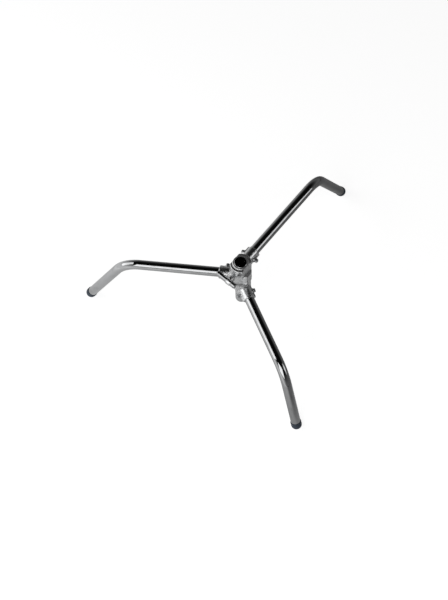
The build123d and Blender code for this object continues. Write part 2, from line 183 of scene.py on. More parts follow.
def makeCastPlated():
    finish, tree, shader = newFinish("castPlated", Metallic=0.97)
    spot = objectCoords(tree)
    machined = meshValue(tree, "machined")
    cavity = meshValue(tree, "cavity")
    fine = grain(tree, spot, castLook["grain"], 3.0, 0.65)
    lumps = grain(tree, spot, castLook["lump"], 3.0, 0.6)
    cloud = grain(tree, spot, castLook["cloud"], 3.0, 0.55)
    pits = addNode(tree, "ShaderNodeTexVoronoi", {"Vector": spot, "Scale": castLook["pits"]})
    pitShare = spread(tree, pits.outputs["Distance"], 0.22, 0.08)
    mottle = calc(tree, "MULTIPLY", calc(tree, "ADD", cloud, lumps), 0.5)
    color = blendColor(tree, spread(tree, mottle, 0.37, 0.63),
                       gray(castLook["dark"], 0.01), gray(castLook["light"], 0.006))
    color = blendColor(tree, calc(tree, "MULTIPLY", pitShare, 0.5), color, gray(castLook["pitColor"]))
    # painted shade: near-black colour laid into recesses and creases by the cavity measure, mixed with grime
    # by the cloud noise
    grimeAndShade = spread(tree, calc(tree, "MULTIPLY_ADD", cloud, 0.25, cavity), 0.3, 0.95)
    color = blendColor(tree, grimeAndShade, color, (0.10, 0.095, 0.088, 1))
    worn = calc(tree, "MULTIPLY", spread(tree, cavity, -0.25, -0.75), 0.6)
    color = blendColor(tree, worn, color, gray(castLook["wornColor"]))
    color = blendColor(tree, machined, color, gray(castLook["turnedColor"], 0.004))
    tree.links.new(color, shader.inputs["Base Color"])
    fromHub = distanceFromHub(tree, spot)
    polish = spread(tree, fromHub, castLook["hubEdge"], castLook["socketStart"],
                    castLook["hubRough"], castLook["rough"])
    rough = calc(tree, "ADD", polish, spread(tree, lumps, 0.3, 0.7, 0.0, castLook["roughSpan"]))
    rough = calc(tree, "MULTIPLY_ADD", grimeAndShade, 0.3, rough)
    rough = addNode(tree, "ShaderNodeMix", {0: machined, 2: rough, 3: castLook["turnedRough"]}).outputs[0]
    tree.links.new(rough, shader.inputs["Roughness"])
    rings = calc(tree, "MULTIPLY", fromHub, castLook["toolLines"])
    turned = calc(tree, "SINE", calc(tree, "MULTIPLY_ADD", grain(tree, spot, 60), 3.0, rings))
    castShare = calc(tree, "SUBTRACT", 1.0, machined)
    rolling = bumped(tree, calc(tree, "MULTIPLY", lumps, castShare), 0.5, 0.0008)
    sandy = bumped(tree, calc(tree, "MULTIPLY", fine, castShare), 0.3, 0.0002, rolling)
    pitted = bumped(tree, calc(tree, "MULTIPLY", pitShare, castShare), -0.3, 0.0002, sandy)
    ringed = bumped(tree, calc(tree, "MULTIPLY", turned, machined), 0.08, 0.00006, pitted)
    tree.links.new(ringed, shader.inputs["Normal"])
    return finish


def makePlatedSteel(name, light, dark, rough, tint=0.01, lines=1.0):
    # zinc, ground or oiled steel: cloudy plating, small stains, brushed or turned lines
    finish, tree, shader = newFinish(name, Metallic=1.0)
    spot = objectCoords(tree)
    cloud = grain(tree, spot, 240, 4.0, 0.6)
    stain = spread(tree, grain(tree, spot, 700, 3.0, 0.7), 0.56, 0.72)
    color = blendColor(tree, spread(tree, cloud, 0.36, 0.66), gray(light, tint), gray(dark, tint))
    stainColor = (dark * 0.5, dark * 0.46, dark * 0.4, 1)
    color = blendColor(tree, calc(tree, "MULTIPLY", stain, 0.35), color, stainColor)
    tree.links.new(color, shader.inputs["Base Color"])
    roughness = spread(tree, cloud, 0.3, 0.7, rough, rough + 0.14)
    tree.links.new(calc(tree, "MULTIPLY_ADD", stain, 0.12, roughness), shader.inputs["Roughness"])
    rings = calc(tree, "MULTIPLY", distanceFromHub(tree, spot), 16000)
    turned = calc(tree, "SINE", calc(tree, "MULTIPLY_ADD", cloud, 4.0, rings))
    ground = bumped(tree, turned, 0.05 * lines, 0.00006)
    pocked = bumped(tree, grain(tree, spot, 1900, 3.0, 0.6), 0.12, 0.0002, ground)
    tree.links.new(pocked, shader.inputs["Normal"])
    return finish


rubberLook = {
    "color": (0.050, 0.068, 0.098, 1),
    "scuffed": (0.16, 0.175, 0.2, 1),
    "dust": (0.27, 0.26, 0.245, 1),
}


def makeFootRubber():
    finish, tree, shader = newFinish("footRubber", Metallic=0.0, Specular_IOR_Level=0.45)
    spot = objectCoords(tree)
    mould = grain(tree, spot, 2600, 2.0, 0.6)
    blotch = grain(tree, spot, 160, 4.0, 0.65)
    height = addNode(tree, "ShaderNodeSeparateXYZ", {0: spot}).outputs[2]
    scuffs = calc(tree, "MULTIPLY", spread(tree, grain(tree, spot, 520, 4.0, 0.75), 0.52, 0.7),
                  spread(tree, height, 0.022, 0.004))
    dust = calc(tree, "MULTIPLY", spread(tree, height, 0.009, 0.0), spread(tree, blotch, 0.35, 0.6))
    color = blendColor(tree, spread(tree, blotch, 0.4, 0.68), rubberLook["color"], (0.066, 0.086, 0.118, 1))
    color = blendColor(tree, calc(tree, "MULTIPLY", scuffs, 0.6), color, rubberLook["scuffed"])
    color = blendColor(tree, calc(tree, "MULTIPLY", dust, 0.7), color, rubberLook["dust"])
    tree.links.new(color, shader.inputs["Base Color"])
    rough = spread(tree, blotch, 0.35, 0.7, 0.42, 0.62)
    tree.links.new(calc(tree, "MULTIPLY_ADD", scuffs, 0.25, rough), shader.inputs["Roughness"])
    skin = bumped(tree, mould, 0.25, 0.0002)
    tree.links.new(bumped(tree, scuffs, -0.4, 0.0002, skin), shader.inputs["Normal"])
    return finish


def makeNylon():
    finish, tree, shader = newFinish("nylonPlug", Subsurface_Weight=0.12, Subsurface_Scale=0.002)
    spot = objectCoords(tree)
    cloud = grain(tree, spot, 300, 3.0, 0.6)
    color = blendColor(tree, spread(tree, cloud, 0.35, 0.7), (0.80, 0.79, 0.73, 1), (0.66, 0.64, 0.57, 1))
    tree.links.new(color, shader.inputs["Base Color"])
    tree.links.new(spread(tree, cloud, 0.3, 0.7, 0.38, 0.55), shader.inputs["Roughness"])
    tree.links.new(bumped(tree, grain(tree, spot, 2200), 0.15, 0.0002), shader.inputs["Normal"])
    return finish


def makePadBrass():
    finish, tree, shader = newFinish("padBrass", Metallic=1.0)
    spot = objectCoords(tree)
    tarnish = grain(tree, spot, 420, 4.0, 0.65)
    color = blendColor(tree, spread(tree, tarnish, 0.38, 0.7), (0.72, 0.54, 0.25, 1), (0.36, 0.25, 0.12, 1))
    tree.links.new(color, shader.inputs["Base Color"])
    tree.links.new(spread(tree, tarnish, 0.3, 0.7, 0.2, 0.4), shader.inputs["Roughness"])
    tree.links.new(bumped(tree, grain(tree, spot, 1500, 3.0), 0.15, 0.0002), shader.inputs["Normal"])
    return finish


tubeChrome = makeTubeChrome()
spindleChrome = makeTurnedChrome("spindleChrome", 0.68, 0.09, 0.26)
# the handle bar's chrome is a darker copy of the spindle's; its lower brightness is painted shade on the bar
shadedHandleChrome = makeTurnedChrome("shadedHandleChrome", 0.42, 0.06, 0.17)
castPlated = makeCastPlated()
fastenerZinc = makePlatedSteel("fastenerZinc", 0.66, 0.5, 0.24, 0.02)
washerSteel = makePlatedSteel("washerSteel", 0.6, 0.42, 0.28, 0.0)
springSteel = makePlatedSteel("springSteel", 0.26, 0.14, 0.3, 0.015)
footRubber = makeFootRubber()
nylonPlug = makeNylon()
padBrass = makePadBrass()
print("stand base: finishes made")


# geometry tree helpers

def newTree(name, sizes):
    tree = bpy.data.node_groups.new(name, "GeometryNodeTree")
    tree.interface.new_socket("Geometry", in_out="INPUT", socket_type="NodeSocketGeometry")
    for label, value in sizes.items():
        kind = "NodeSocketInt" if isinstance(value, int) else "NodeSocketFloat"
        tree.interface.new_socket(label, in_out="INPUT", socket_type=kind).default_value = value
    tree.interface.new_socket("Geometry", in_out="OUTPUT", socket_type="NodeSocketGeometry")
    return tree, tree.nodes.new("NodeGroupInput").outputs


def endTree(tree, shape, finish):
    whole = addNode(tree, "GeometryNodeRealizeInstances", {0: shape})
    coated = addNode(tree, "GeometryNodeSetMaterial", {"Geometry": whole.outputs[0], "Material": finish})
    addNode(tree, "NodeGroupOutput", {0: coated.outputs[0]})


def runTree(tree, values, hostMesh=None, bevelWidth=0.0, wall=0.0):
    host = bpy.data.objects.new("treeHost", hostMesh or bpy.data.meshes.new("treeHost"))
    bpy.context.scene.collection.objects.link(host)
    grower = host.modifiers.new("grow", "NODES")
    grower.node_group = tree
    for item in tree.interface.items_tree:
        if item.in_out == "INPUT" and item.name in values:
            grower[item.identifier] = values[item.name]
    if bevelWidth:
        bevel = host.modifiers.new("edges", "BEVEL")
        bevel.width = bevelWidth
        bevel.segments = 2
        bevel.angle_limit = math.radians(35)
    if wall:
        shell = host.modifiers.new("wall", "SOLIDIFY")
        shell.thickness = wall
        shell.offset = -1
        shell.use_even_offset = True
    seen = host.evaluated_get(bpy.context.evaluated_depsgraph_get())
    grown = bpy.data.meshes.new_from_object(seen)
    bpy.data.objects.remove(host)
    return grown


def joinMeshes(name, meshes, finish):
    gathered = bmesh.new()
    for mesh in meshes:
        gathered.from_mesh(mesh)
    whole = bpy.data.meshes.new(name)
    gathered.to_mesh(whole)
    gathered.free()
    whole.materials.clear()
    whole.materials.append(finish)
    return whole


def newPiece(name, mesh, body, slotName, *cadNodes):
    piece = bpy.data.objects.new(name, mesh)
    bpy.context.scene.collection.objects.link(piece)
    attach(piece, body)
    if cadNodes:
        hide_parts(*cadNodes)
    return piece


def smoothShade(mesh, sharpDeg):
    mesh.shade_smooth()
    mesh.set_sharp_from_angle(angle=math.radians(sharpDeg))


# where the legs stand, read from the frame

legShape = {
    "droopDeg": 1.75, "footDeg": 58.3, "bendRadius": 76.2 * mm, "tubeRadius": 12.7 * mm, "wall": 1.65 * mm,
    "tubeRoot": 22.0 * mm, "arcSteps": 40, "sides": 72,
}
droop = math.tan(math.radians(legShape["droopDeg"]))
footSlope = math.tan(math.radians(legShape["footDeg"]))


def middleOf(node):
    low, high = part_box(node)
    return (low + high) / 2


def legPlace(name):
    # outward direction, height of the leg's axis at the hub, distance out to the foot's round end
    washers = middleOf(name + "_leg_washers")
    outward = Vector((washers.x, washers.y, 0)).normalized()
    axisHeight = washers.z + math.hypot(washers.x, washers.y) * droop
    farthest = max(v.co.dot(outward) for v in nodes[name + "_foot_cap"].data.vertices)
    return outward, axisHeight, farthest - footLook["radius"]


footLook = {
    "radius": 14.0 * mm, "sleeve": 9.0 * mm, "bead": 0.35 * mm, "groove": 0.45 * mm,
    "sides": 72, "domeSteps": 16,
}


def legCorners(name):
    outward, axisHeight, endReach = legPlace(name)
    endHeight = footLook["radius"]
    cornerReach = (endReach * footSlope - axisHeight + endHeight) / (footSlope - droop)
    root = outward * legShape["tubeRoot"] + Vector((0, 0, axisHeight - legShape["tubeRoot"] * droop))
    corner = outward * cornerReach + Vector((0, 0, axisHeight - cornerReach * droop))
    end = outward * endReach + Vector((0, 0, endHeight))
    return root, corner, end


# leg tubes: each follows its corner line, filleted, and keeps its length along the tube for the draw lines

def growLegTube():
    tree, given = newTree("legTube", {"Bend Radius": 0.1, "Tube Radius": 0.01, "Arc Steps": 8, "Sides": 16})
    line = addNode(tree, "GeometryNodeMeshToCurve", {0: given["Geometry"]}).outputs[0]
    bent = addNode(tree, "GeometryNodeFilletCurve", {
        "Curve": line, "Count": given["Arc Steps"], "Radius": given["Bend Radius"]}, mode="POLY").outputs[0]
    reached = addNode(tree, "GeometryNodeSplineParameter").outputs["Length"]
    bent = addNode(tree, "GeometryNodeStoreNamedAttribute", {
        "Geometry": bent, "Name": "along", "Value": reached}, data_type="FLOAT", domain="POINT").outputs[0]
    ring = addNode(tree, "GeometryNodeCurvePrimitiveCircle", {
        "Resolution": given["Sides"], "Radius": given["Tube Radius"]}).outputs[0]
    ring = addNode(tree, "GeometryNodeStoreNamedAttribute", {
        "Geometry": ring, "Name": "ring", "Value": addNode(tree, "GeometryNodeInputPosition").outputs[0],
    }, data_type="FLOAT_VECTOR", domain="POINT").outputs[0]
    tube = addNode(tree, "GeometryNodeCurveToMesh", {"Curve": bent, "Profile Curve": ring}).outputs[0]
    place = addNode(tree, "GeometryNodeInputNamedAttribute", {"Name": "ring"}, data_type="FLOAT_VECTOR")
    run = addNode(tree, "GeometryNodeInputNamedAttribute", {"Name": "along"}, data_type="FLOAT")
    flat = addNode(tree, "ShaderNodeSeparateXYZ", {0: place.outputs["Attribute"]}).outputs
    unbent = addNode(tree, "ShaderNodeCombineXYZ", {0: flat[0], 1: flat[1], 2: run.outputs["Attribute"]})
    tube = addNode(tree, "GeometryNodeStoreNamedAttribute", {
        "Geometry": tube, "Name": "tubeCoord", "Value": unbent.outputs[0],
    }, data_type="FLOAT_VECTOR", domain="POINT").outputs[0]
    endTree(tree, tube, tubeChrome)
    return tree


def makeLegTube(name, tree):
    corners = bpy.data.meshes.new("cornerLine")
    corners.from_pydata([tuple(p) for p in legCorners(name)], [(0, 1), (1, 2)], [])
    sizes = {
        "Bend Radius": legShape["bendRadius"], "Tube Radius": legShape["tubeRadius"],
        "Arc Steps": legShape["arcSteps"], "Sides": legShape["sides"],
    }
    tube = runTree(tree, sizes, corners, wall=legShape["wall"])
    tube.name = name + "LegTube"
    smoothShade(tube, 50)
    newPiece(name + "LegTube", tube, legBody[name], "tube_chrome", name + "_leg_tube")


tubeTree = growLegTube()
for leg in legNames:
    makeLegTube(leg, tubeTree)
print("stand base: leg tubes drawn")


# rubber foot caps, turned from one outline: rolled rim, two grooves, round end

def capOutline():
    radius = footLook["radius"]
    inside = legShape["tubeRadius"] + 0.02 * mm
    rim = -footLook["sleeve"]
    outline = [(0, 0.02 * mm), (inside, 0.02 * mm), (inside, rim + 0.5 * mm), (inside + 0.4 * mm, rim)]
    outline += [(radius - 0.15 * mm, rim), (radius + footLook["bead"] * 0.2, rim + 0.3 * mm)]
    outline += [(radius + footLook["bead"] * 0.2, rim + 1.2 * mm), (radius - 0.1 * mm, rim + 1.5 * mm)]
    for grooveAt in (3.4 * mm, 5.6 * mm):
        for step, depth in ((-0.5, 0), (-0.25, 0.8), (0, 1), (0.25, 0.8), (0.5, 0)):
            outline.append((radius - 0.1 * mm - footLook["groove"] * depth, rim + grooveAt + step * mm))
    outline += [(radius - 0.05 * mm, -1.5 * mm), (radius, -0.4 * mm)]
    for step in range(footLook["domeSteps"] + 1):
        turn = math.pi / 2 * step / footLook["domeSteps"]
        outline.append((radius * math.cos(turn), radius * math.sin(turn)))
    return outline


def latheMesh(name, outline, sides, place):
    # closed outline of (radius, height) points round the Z axis, moved by place
    built = bmesh.new()
    rings = []
    for radius, height in outline:
        if radius < 1e-7:
            rings.append([built.verts.new(place @ Vector((0, 0, height)))])
            continue
        angles = [2 * math.pi * side / sides for side in range(sides)]
        rings.append([built.verts.new(place @ Vector((radius * math.cos(a), radius * math.sin(a), height)))
                      for a in angles])
    for low, high in zip(rings, rings[1:]):
        for side in range(sides):
            after = (side + 1) % sides
            corners = [low[side % len(low)], low[after % len(low)]]
            corners += [high[after % len(high)], high[side % len(high)]]
            built.faces.new(list(dict.fromkeys(corners)))
    bmesh.ops.recalc_face_normals(built, faces=built.faces)
    mesh = bpy.data.meshes.new(name)
    built.to_mesh(mesh)
    built.free()
    return mesh


for leg in legNames:
    root, corner, end = legCorners(leg)
    turn = (end - corner).to_track_quat("Z", "Y").to_matrix().to_4x4()
    capMesh = latheMesh(leg + "FootCap", capOutline(), footLook["sides"], Matrix.Translation(end) @ turn)
    capMesh.materials.append(footRubber)
    smoothShade(capMesh, 50)
    newPiece(leg + "FootCap", capMesh, legBody[leg], "foot_rubber", leg + "_foot_cap")
print("stand base: foot caps turned")


# threads: a rod whose surface is pushed in and out by a helix rule, tapered at its free end

def growThread():
    tree, given = newTree("threadedRod", {
        "Radius": 0.003, "Length": 0.01, "Pitch": 0.001, "Depth": 0.0006, "Lead In": 0.001,
        "Sides": 40, "Rows": 80,
    })
    rod = addNode(tree, "GeometryNodeMeshCylinder", {
        "Vertices": given["Sides"], "Side Segments": given["Rows"], "Radius": given["Radius"],
        "Depth": given["Length"]}, fill_type="NGON").outputs[0]
    position = addNode(tree, "GeometryNodeInputPosition").outputs[0]
    at = addNode(tree, "ShaderNodeSeparateXYZ", {0: position}).outputs
    turns = calc(tree, "DIVIDE", calc(tree, "ARCTAN2", at[1], at[0]), 2 * math.pi)
    phase = calc(tree, "FRACT", calc(tree, "SUBTRACT", calc(tree, "DIVIDE", at[2], given["Pitch"]), turns))
    valley = calc(tree, "MULTIPLY", calc(tree, "ABSOLUTE", calc(tree, "SUBTRACT", phase, 0.5)), 2.0)
    valley = calc(tree, "MINIMUM", calc(tree, "MAXIMUM", calc(tree, "SUBTRACT", valley, 0.12), 0.0), 0.8)
    cut = calc(tree, "MULTIPLY", calc(tree, "MULTIPLY", valley, 1.25), given["Depth"])
    toEnd = calc(tree, "ADD", at[2], calc(tree, "DIVIDE", given["Length"], 2.0))
    taper = spread(tree, calc(tree, "DIVIDE", toEnd, given["Lead In"]), 0.0, 1.0, 1.0, 0.0)
    cut = calc(tree, "MAXIMUM", cut, calc(tree, "MULTIPLY", taper, given["Depth"]))
    share = calc(tree, "SUBTRACT", 1.0, calc(tree, "DIVIDE", cut, given["Radius"]))
    flat = addNode(tree, "ShaderNodeCombineXYZ", {
        0: calc(tree, "MULTIPLY", at[0], share), 1: calc(tree, "MULTIPLY", at[1], share), 2: at[2]})
    moved = addNode(tree, "GeometryNodeSetPosition", {"Geometry": rod, "Position": flat.outputs[0]})
    threaded = moved.outputs[0]
    endTree(tree, threaded, fastenerZinc)
    return tree


# topShare is the flat top's radius over the width across flats
hexLook = {"topShare": 0.475, "chamferDeg": 30, "coneSides": 72}


def growHexPair():
    # a bolt's head and nut, facing away from each other, with their corners turned off by a cone,
    # and a washer under each
    tree, given = newTree("hexPair", {
        "Across Flats": 0.01, "Head Height": 0.004, "Nut Height": 0.005, "Seat": 0.02,
        "Washer Radius": 0.006, "Washer Hole": 0.003, "Washer Height": 0.001,
    })
    flats = given["Across Flats"]
    topRadius = calc(tree, "MULTIPLY", flats, hexLook["topShare"])
    shapes = []
    for height, side in ((given["Head Height"], 1), (given["Nut Height"], -1)):
        prism = addNode(tree, "GeometryNodeMeshCylinder", {
            "Vertices": 6, "Radius": calc(tree, "DIVIDE", flats, math.sqrt(3)),
            "Depth": calc(tree, "MULTIPLY", height, 2.0)}).outputs[0]
        flare = calc(tree, "DIVIDE", height, math.tan(math.radians(hexLook["chamferDeg"])))
        cone = addNode(tree, "GeometryNodeMeshCone", {
            "Vertices": hexLook["coneSides"], "Radius Top": topRadius,
            "Radius Bottom": calc(tree, "ADD", flare, topRadius), "Depth": height}).outputs[0]
        down = addNode(tree, "ShaderNodeCombineXYZ", {2: calc(tree, "MULTIPLY", height, -0.5)}).outputs[0]
        cone = addNode(tree, "GeometryNodeTransform", {"Geometry": cone, "Translation": down}).outputs[0]
        block = addNode(tree, "GeometryNodeMeshBoolean", {"Mesh 2": prism}, operation="INTERSECT")
        tree.links.new(cone, block.inputs["Mesh 2"])
        middle = calc(tree, "MULTIPLY", calc(tree, "MULTIPLY_ADD", height, 0.5, given["Seat"]), side)
        out = addNode(tree, "ShaderNodeCombineXYZ", {2: middle}).outputs[0]
        facing = (0, 0, 0) if side > 0 else (math.pi, 0, 0)
        shapes.append(addNode(tree, "GeometryNodeTransform", {
            "Geometry": block.outputs[0], "Translation": out, "Rotation": facing}).outputs[0])
        shapes.append(growWasher(tree, given, side))
    joined = addNode(tree, "GeometryNodeJoinGeometry")
    for shape in shapes:
        tree.links.new(shape, joined.inputs[0])
    endTree(tree, joined.outputs[0], fastenerZinc)
    return tree


def growWasher(tree, given, side):
    meanRadius = calc(tree, "MULTIPLY", calc(tree, "ADD", given["Washer Radius"], given["Washer Hole"]), 0.5)
    width = calc(tree, "SUBTRACT", given["Washer Radius"], given["Washer Hole"])
    circle = addNode(tree, "GeometryNodeCurvePrimitiveCircle", {"Resolution": 64, "Radius": meanRadius})
    path = circle.outputs[0]
    section = addNode(tree, "GeometryNodeCurvePrimitiveQuadrilateral", {
        "Width": width, "Height": given["Washer Height"]}).outputs[0]
    ring = addNode(tree, "GeometryNodeCurveToMesh", {"Curve": path, "Profile Curve": section}).outputs[0]
    middle = calc(tree, "MULTIPLY_ADD", given["Washer Height"], -0.5, given["Seat"])
    out = addNode(tree, "ShaderNodeCombineXYZ", {2: calc(tree, "MULTIPLY", middle, side)}).outputs[0]
    return addNode(tree, "GeometryNodeTransform", {"Geometry": ring, "Translation": out}).outputs[0]


boltShape = {
    "flats": 10 * mm, "head": 4 * mm, "nut": 5 * mm, "seat": 19.7 * mm, "washerRadius": 6.25 * mm,
    "washerHole": 3.25 * mm, "washerHeight": 1.2 * mm, "shank": 3 * mm, "tail": 1.8 * mm, "pitch": 1.0 * mm,
    "threadDepth": 0.6 * mm, "edge": 0.1 * mm,
}
threadTree = growThread()
hexTree = growHexPair()


def threadMesh(radius, length, pitch, depth, leadIn, sides):
    return runTree(threadTree, {
        "Radius": radius, "Length": length, "Pitch": pitch, "Depth": depth, "Lead In": leadIn,
        "Sides": sides, "Rows": max(4, round(length / pitch * 8)),
    })


def makeCrossBolt(name):
    b = boltShape
    pair = runTree(hexTree, {
        "Across Flats": b["flats"], "Head Height": b["head"], "Nut Height": b["nut"], "Seat": b["seat"],
        "Washer Radius": b["washerRadius"], "Washer Hole": b["washerHole"],
        "Washer Height": b["washerHeight"],
    }, bevelWidth=b["edge"])
    low = -(b["seat"] + b["nut"] + b["tail"])
    shank = threadMesh(b["shank"], b["seat"] - low, b["pitch"], b["threadDepth"], b["pitch"], 32)
    shank.transform(Matrix.Translation((0, 0, (b["seat"] + low) / 2)))
    whole = joinMeshes(name + "CrossBolt", [pair, shank], fastenerZinc)
    washers = middleOf(name + "_leg_washers")
    outward = Vector((washers.x, washers.y, 0)).normalized()
    sideways = Vector((-outward.y, outward.x, 0))
    # local Z runs across the leg, towards the bolt's head
    turn = Matrix((outward, sideways.cross(outward), sideways)).transposed()
    whole.transform(Matrix.Translation(washers) @ turn.to_4x4())
    smoothShade(whole, 32)
    newPiece(name + "CrossBolt", whole, legBody[name], "fastener_steel",
             name + "_leg_bolt", name + "_leg_nut", name + "_leg_washers")


for leg in legNames:
    makeCrossBolt(leg)
print("stand base: cross bolts screwed in")


# cast pieces: the CAD shape remeshed in fine cubes and rounded off, then machined faces laid back on it

castShape = {
    "voxel": 0.55 * mm, "rounding": 16, "lump": 0.10 * mm, "lumpSize": 7 * mm, "ripple": 0.035 * mm,
    "rippleSize": 1.6 * mm, "seamHeight": 0.22 * mm, "seamWidth": 0.45 * mm,
}


def evaluatedMesh(host):
    mesh = bpy.data.meshes.new_from_object(host.evaluated_get(bpy.context.evaluated_depsgraph_get()))
    bpy.data.objects.remove(host)
    return mesh


def mergedCopy(node):
    merged = bmesh.new()
    merged.from_mesh(nodes[node].data)
    bmesh.ops.remove_doubles(merged, verts=merged.verts, dist=0.002 * mm)
    mesh = bpy.data.meshes.new(node + "Copy")
    merged.to_mesh(mesh)
    merged.free()
    return mesh


def eased(co, edges, rounds, share, held):
    # moves each free point towards the middle of its neighbours
    links = np.concatenate([edges, edges[:, ::-1]])
    count = np.bincount(links[:, 0], minlength=len(co))[:, None]
    for _ in range(rounds):
        total = np.stack([np.bincount(links[:, 0], co[links[:, 1], axis], len(co)) for axis in range(3)], 1)
        co = co + (total / count - co) * share * (1 - held)
    return co


def castPiece(name, node, body, slotName, finish, isMachined, seamLine, voxel=castShape["voxel"]):
    source = mergedCopy(node)
    surface = bmesh.new()
    surface.from_mesh(source)
    nearest = BVHTree.FromBMesh(surface)
    surface.free()
    host = bpy.data.objects.new(name + "Host", source)
    bpy.context.scene.collection.objects.link(host)
    cubes = host.modifiers.new("cubes", "REMESH")
    cubes.mode = "VOXEL"
    cubes.voxel_size = voxel
    mesh = evaluatedMesh(host)
    co = np.empty(len(mesh.vertices) * 3)
    mesh.vertices.foreach_get("co", co)
    co = co.reshape(-1, 3)
    edges = np.empty(len(mesh.edges) * 2, int)
    mesh.edges.foreach_get("vertices", edges)
    edges = edges.reshape(-1, 2)
    machined = np.array([isMachined(Vector(p)) for p in co], float)
    for i in np.nonzero(machined)[0]:
        co[i] = nearest.find_nearest(Vector(co[i]))[0]
    held = machined[:, None]
    co = eased(co, edges, castShape["rounding"], 0.5, held)
    mesh.vertices.foreach_set("co", co.ravel())
    mesh.update()
    normals = np.empty(len(co) * 3)
    mesh.vertices.foreach_get("normal", normals)
    normals = normals.reshape(-1, 3)
    away = eased(co, edges, 14, 0.5, 0)
    cavity = np.clip(((away - co) * normals).sum(1) / (0.35 * mm), -1.5, 1.5)
    lift = np.zeros(len(co))
    for i in np.nonzero(machined < 1)[0]:
        spot = Vector(co[i])
        lift[i] = noise.noise(spot / castShape["lumpSize"]) * castShape["lump"]
        lift[i] += noise.noise(spot / castShape["rippleSize"]) * castShape["ripple"]
        if seamLine is not None and abs(normals[i][2]) < 0.6:
            lift[i] += castShape["seamHeight"] * math.exp(-(seamLine(spot) / castShape["seamWidth"]) ** 2)
    co = co + normals * lift[:, None]
    mesh.vertices.foreach_set("co", co.ravel())
    blurred = eased(np.repeat(held, 3, 1), edges, 2, 0.5, 0)[:, 0]
    for label, values in (("machined", blurred), ("cavity", cavity)):
        mesh.attributes.new(label, "FLOAT", "POINT").data.foreach_set("value", values.astype(np.float32))
    mesh.materials.clear()
    mesh.materials.append(finish)
    mesh.shade_smooth()
    mesh.update()
    newPiece(name, mesh, body, slotName, node)
    print("stand base:", name, "cast,", len(mesh.polygons), "faces")


hubShape = {
    "spindleRadius": 16.0 * mm, "floorDrop": 20.0 * mm, "roofRise": 19.75 * mm,
    "collarRise": 18.2 * mm, "boltSeat": 18.5 * mm,
    "boltReach": 36.0 * mm, "boltBoss": 7.0 * mm, "noseRadius": 27.5 * mm,
    "clampBoss": 8.5 * mm, "screwBoss": 8.5 * mm, "dragBore": 5.0 * mm,
}
skinDepth = 0.7 * mm


def legFrame(name):
    outward, axisHeight, _ = legPlace(name)
    sideways = Vector((-outward.y, outward.x, 0))

    def local(point):
        return point.dot(outward), point.dot(sideways), point.z - axisHeight
    return local


def machinedFaces(name, bores):
    # inside the hub's and the leg's bores, faces that turn past a washer, bolt seats and other turned faces
    local = legFrame(name)
    h = hubShape

    def test(point):
        out, across, rise = local(point)
        hub = math.hypot(out, across)
        if hub < h["spindleRadius"] + skinDepth:
            return True
        offAxis = math.hypot(across, rise + out * droop)
        if out > legShape["tubeRoot"] - 1 * mm and offAxis < legShape["tubeRadius"] + skinDepth:
            return True
        offBolt = math.hypot(out - h["boltReach"], rise)
        if abs(across) > h["boltSeat"] - skinDepth and offBolt < h["boltBoss"] + 1 * mm:
            return True
        if hub < h["noseRadius"] + 1 * mm and rise < -h["floorDrop"] + skinDepth:
            return True
        if name == "top" and rise > h["collarRise"] - skinDepth:
            return True
        if name != "top" and hub < h["noseRadius"] + 1 * mm and rise > h["roofRise"] - skinDepth:
            return True
        return any(math.dist(point.cross(axis).xyz, base.cross(axis)) < radius and point.dot(axis) > start
                   for base, axis, radius, start in bores)
    return test


def boreLine(node, radius, start):
    # a round piece that sticks out of the hub: a point on its axis, the axis, and the faced area round it
    middle = middleOf(node)
    return middle, Vector((middle.x, middle.y, 0)).normalized(), radius, start


faced = {
    "top": [boreLine("clamp_pad", hubShape["clampBoss"] + mm, hubShape["noseRadius"] + 0.3 * mm - skinDepth),
            boreLine("collar_screw", hubShape["screwBoss"] + mm, hubShape["noseRadius"] + mm - skinDepth)],
    "middle": [boreLine("middle_drag_screw", hubShape["dragBore"] + skinDepth, 0.0)],
    "lower": [boreLine("lower_drag_screw", hubShape["dragBore"] + skinDepth, 0.0)],
}


def seamOf(name):
    local = legFrame(name)

    def offSeam(point):
        out, _, rise = local(point)
        return rise + max(out, 0.0) * droop
    return offSeam


for leg in legNames:
    castPiece(leg + "Casting", leg + "_casting", legBody[leg], "cast_plated", castPlated,
              machinedFaces(leg, faced[leg]), seamOf(leg))


# clamp handle: cast knuckle, chromed bar and threaded screw

clampShape = {
    "screwRadius": 6.0 * mm, "nose": 3.0 * mm, "pitch": 1.75 * mm, "threadDepth": 1.05 * mm,
    "threadStart": 19.2 * mm, "threadEnd": 42.3 * mm, "knuckleVoxel": 0.35 * mm, "knuckleHalf": 6.5 * mm,
    "turnDeg": -13.0,
}
clampAxis = Vector((0, middleOf("handle_pin").y, 0)).normalized()
clampHeight = middleOf("clamp_pad").z
barTurn = math.radians(clampShape["turnDeg"])
barAlong = Vector((math.cos(barTurn), 0, math.sin(barTurn)))


def makeClampScrew():
    c = clampShape
    length = c["threadEnd"] - c["threadStart"]
    thread = threadMesh(c["screwRadius"], length, c["pitch"], c["threadDepth"], c["pitch"] * 0.7, 64)
    thread.transform(Matrix.Translation((0, 0, (c["threadEnd"] + c["threadStart"]) / 2)))
    noseStart = min(v.co.dot(clampAxis) for v in nodes["clamp_screw"].data.vertices)
    outline = [(0, noseStart), (c["nose"] - 0.4 * mm, noseStart), (c["nose"], noseStart + 0.4 * mm)]
    outline += [(c["nose"], c["threadStart"] + 0.5 * mm), (0, c["threadStart"] + 0.5 * mm)]
    nose = latheMesh("screwNose", outline, 40, Matrix.Identity(4))
    whole = joinMeshes("clampScrew", [thread, nose], fastenerZinc)
    turn = clampAxis.to_track_quat("Z", "Y").to_matrix().to_4x4()
    whole.transform(Matrix.Translation((0, 0, clampHeight)) @ turn)
    smoothShade(whole, 40)
    newPiece("clampScrew", whole, "clamp_handle", "fastener_steel", "clamp_screw")


makeClampScrew()
barReach = middleOf("handle_bar").dot(clampAxis)


